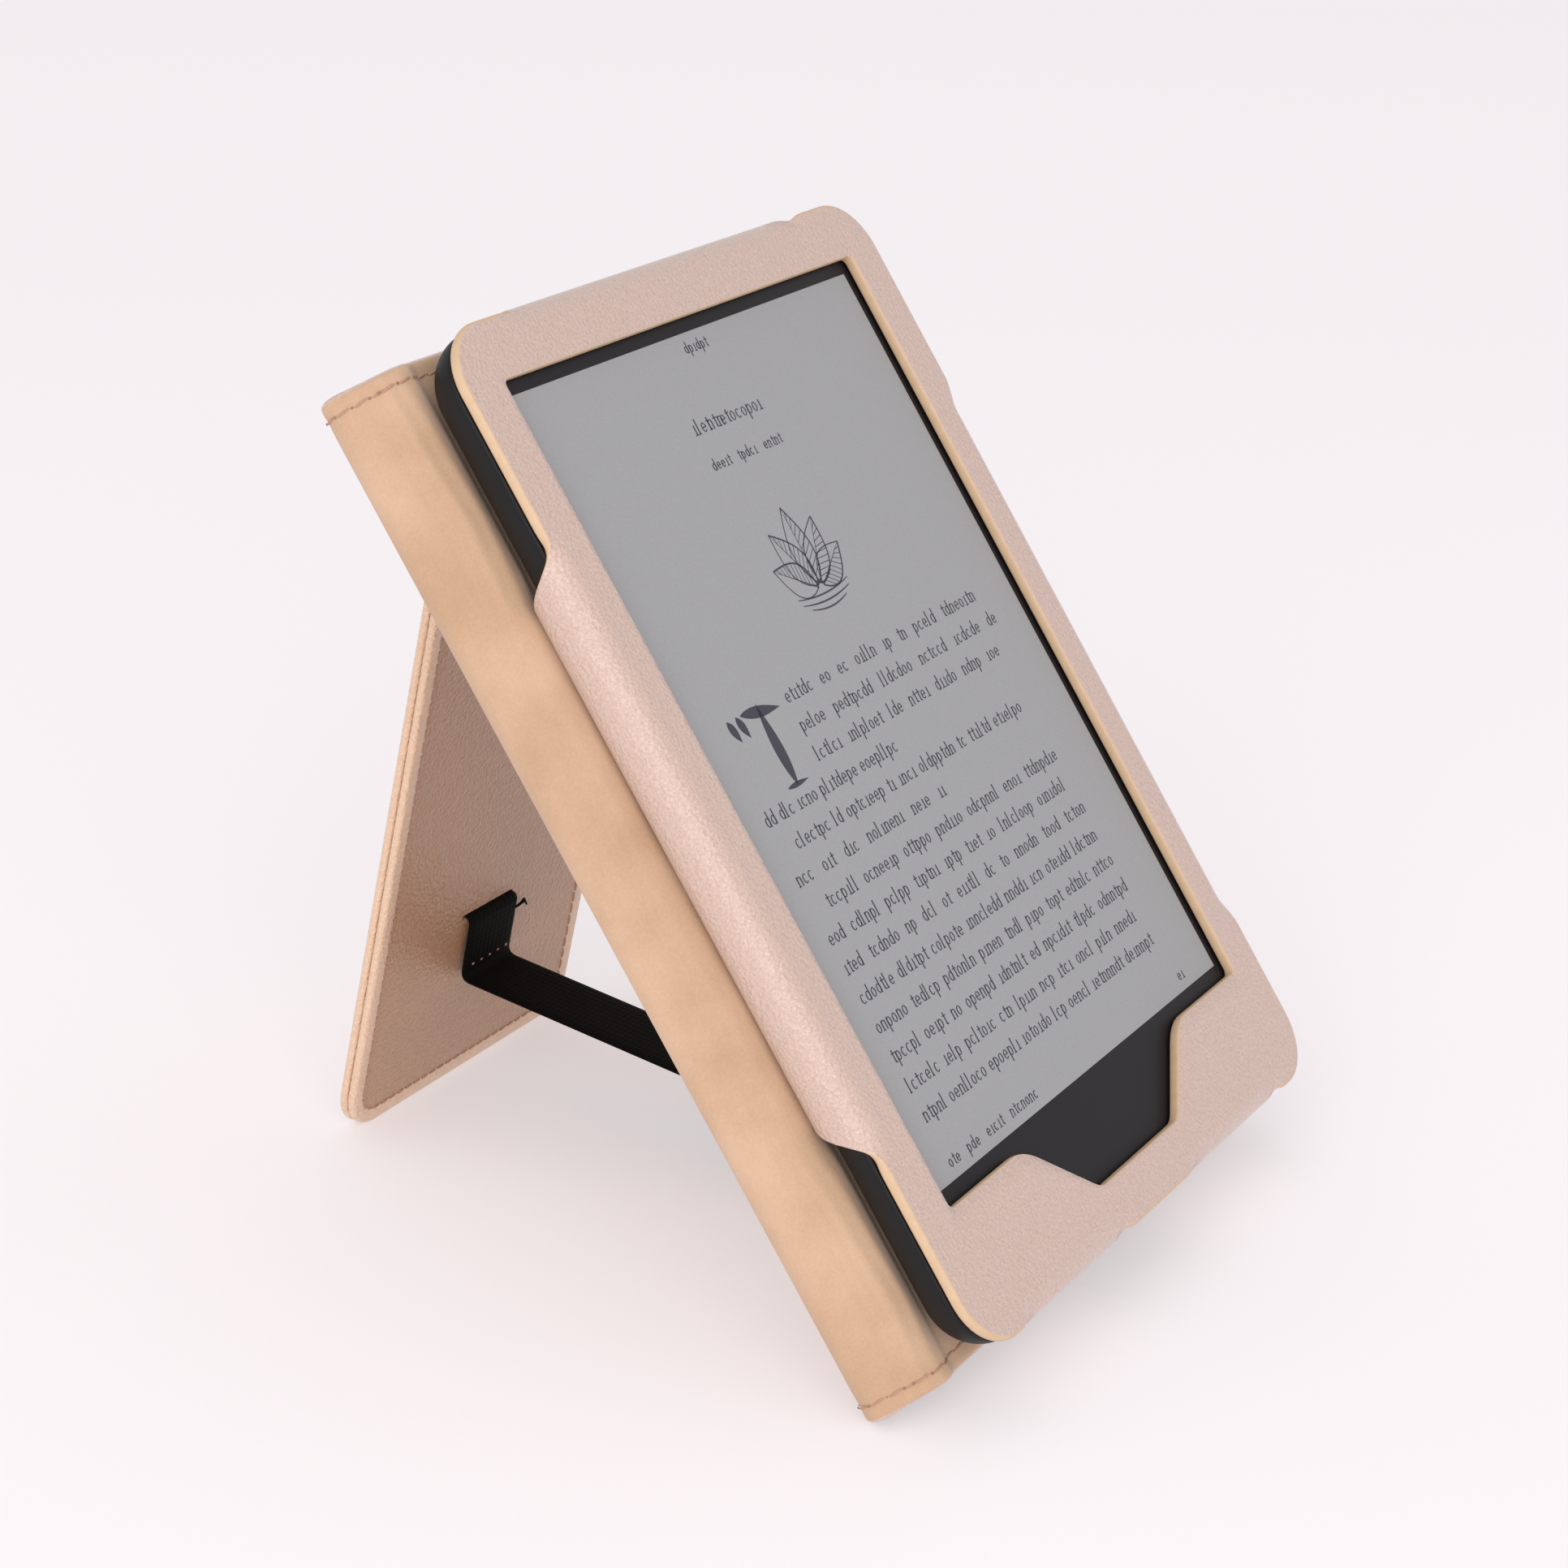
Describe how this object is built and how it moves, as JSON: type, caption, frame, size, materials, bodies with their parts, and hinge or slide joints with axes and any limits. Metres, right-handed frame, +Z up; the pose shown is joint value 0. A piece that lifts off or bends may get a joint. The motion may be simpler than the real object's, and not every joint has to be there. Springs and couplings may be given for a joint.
{
  "type": "e-reader in folding stand case",
  "caption": "Flat e-reader in a leather folio case, its cover folded behind and propped on a hinged kickstand leg with an elastic stop strap.",
  "frame": {"origin": "on the surface the part stands on, under the middle of its box", "axes": "+Z up, +X to the right across the screen, -Y the way the screen faces; the screen leans back 35 degrees"},
  "size_m": [0.1356, 0.1464, 0.1577],
  "materials": {
    "rose_leather": "fine-grained rose gold PU leather with a soft pearl sheen, cream cut edges",
    "beige_lining": "beige microfibre lining, matt and napped",
    "card": "stiffener board",
    "black_shell": "fine-textured black moulded plastic",
    "front_lens": "flush front lens, printed dark border and matt grey display area",
    "black_rubber": "foam gasket",
    "light_guide_acrylic": "clear acrylic",
    "display_film": "electronic paper film, light grey",
    "magnesium": "stamped light alloy",
    "circuit_board": "green solder mask",
    "steel": "plain steel",
    "battery_pouch": "laminated foil pouch",
    "polyimide": "amber polyimide flex",
    "black_plastic": "black moulded plastic",
    "button_plastic": "glossy black plastic",
    "clear_plastic": "clear polycarbonate",
    "black_elastic": "woven black elastic webbing"
  },
  "bodies": {
    "reader_and_holder": {"rear_housing": "black_shell", "front_glass": "front_lens", "front_frame": "rose_leather", "left_flap": "rose_leather", "right_wrap": "rose_leather", "top_wrap": "rose_leather", "bottom_wrap_left": "rose_leather", "bottom_wrap_right": "rose_leather", "back_lining": "beige_lining", "back_leather": "rose_leather", "back_hinge_leather": "rose_leather", "light_guide": "light_guide_acrylic", "display_panel": "display_film", "display_gasket": "black_rubber", "inner_frame": "magnesium", "main_board": "circuit_board", "shield_can_large": "steel", "shield_can_small": "steel", "storage_chip": "black_plastic", "battery_pack": "battery_pouch", "battery_lead": "polyimide", "display_flex": "polyimide", "antenna_module": "black_plastic", "hall_sensor": "black_plastic", "light_strip": "polyimide", "usb_c_port": "steel", "port_tongue": "black_plastic", "button_switch": "steel", "status_light_pipe": "clear_plastic", "back_board": "card", "frame_screw_1": "steel", "frame_screw_2": "steel", "frame_screw_3": "steel", "frame_screw_4": "steel", "frame_screw_5": "steel", "frame_screw_6": "steel"},
    "spine": {"spine_board": "card", "spine_lining": "beige_lining", "spine_leather": "rose_leather", "cover_hinge_leather": "rose_leather"},
    "front_cover": {"cover_lining": "beige_lining", "cover_board": "card", "cover_magnet": "steel", "cover_leather": "rose_leather", "stand_hinge_leather": "rose_leather", "elastic_strap": "black_elastic"},
    "kickstand": {"stand_inner_leather": "rose_leather", "stand_board": "card", "stand_outer_leather": "rose_leather", "strap_tab": "black_elastic"},
    "button": {"power_button": "button_plastic"}
  },
  "joints": [
    {"name": "spine_fold", "type": "hinge", "parent": "reader_and_holder", "child": "spine", "pos_m": [-0.06114, -0.01125, 0.08534], "axis": [0, 0.5736, 0.8192], "range_deg": [0, 93.6], "deforming": ["back_hinge_leather"]},
    {"name": "cover_fold", "type": "hinge", "parent": "spine", "child": "front_cover", "pos_m": [-0.0671, -0.00297, 0.07954], "axis": [0, 0.5736, 0.8192], "range_deg": [0, 176], "deforming": ["cover_hinge_leather"]},
    {"name": "stand_fold", "type": "hinge", "parent": "front_cover", "child": "kickstand", "pos_m": [0.00253, 0.04232, 0.13622], "axis": [1, 0, 0], "range_deg": [-45.5, 0], "deforming": ["elastic_strap", "stand_hinge_leather"]},
    {"name": "button_press", "type": "slide", "parent": "reader_and_holder", "child": "button", "axis": [0, 0.5736, 0.8192], "range_m": [0, 0.0006], "stiffness_N_per_m": 400}
  ],
  "couplings": [
    {"joint": "spine_fold", "follows": "cover_fold", "ratio": 0.5319}
  ]
}
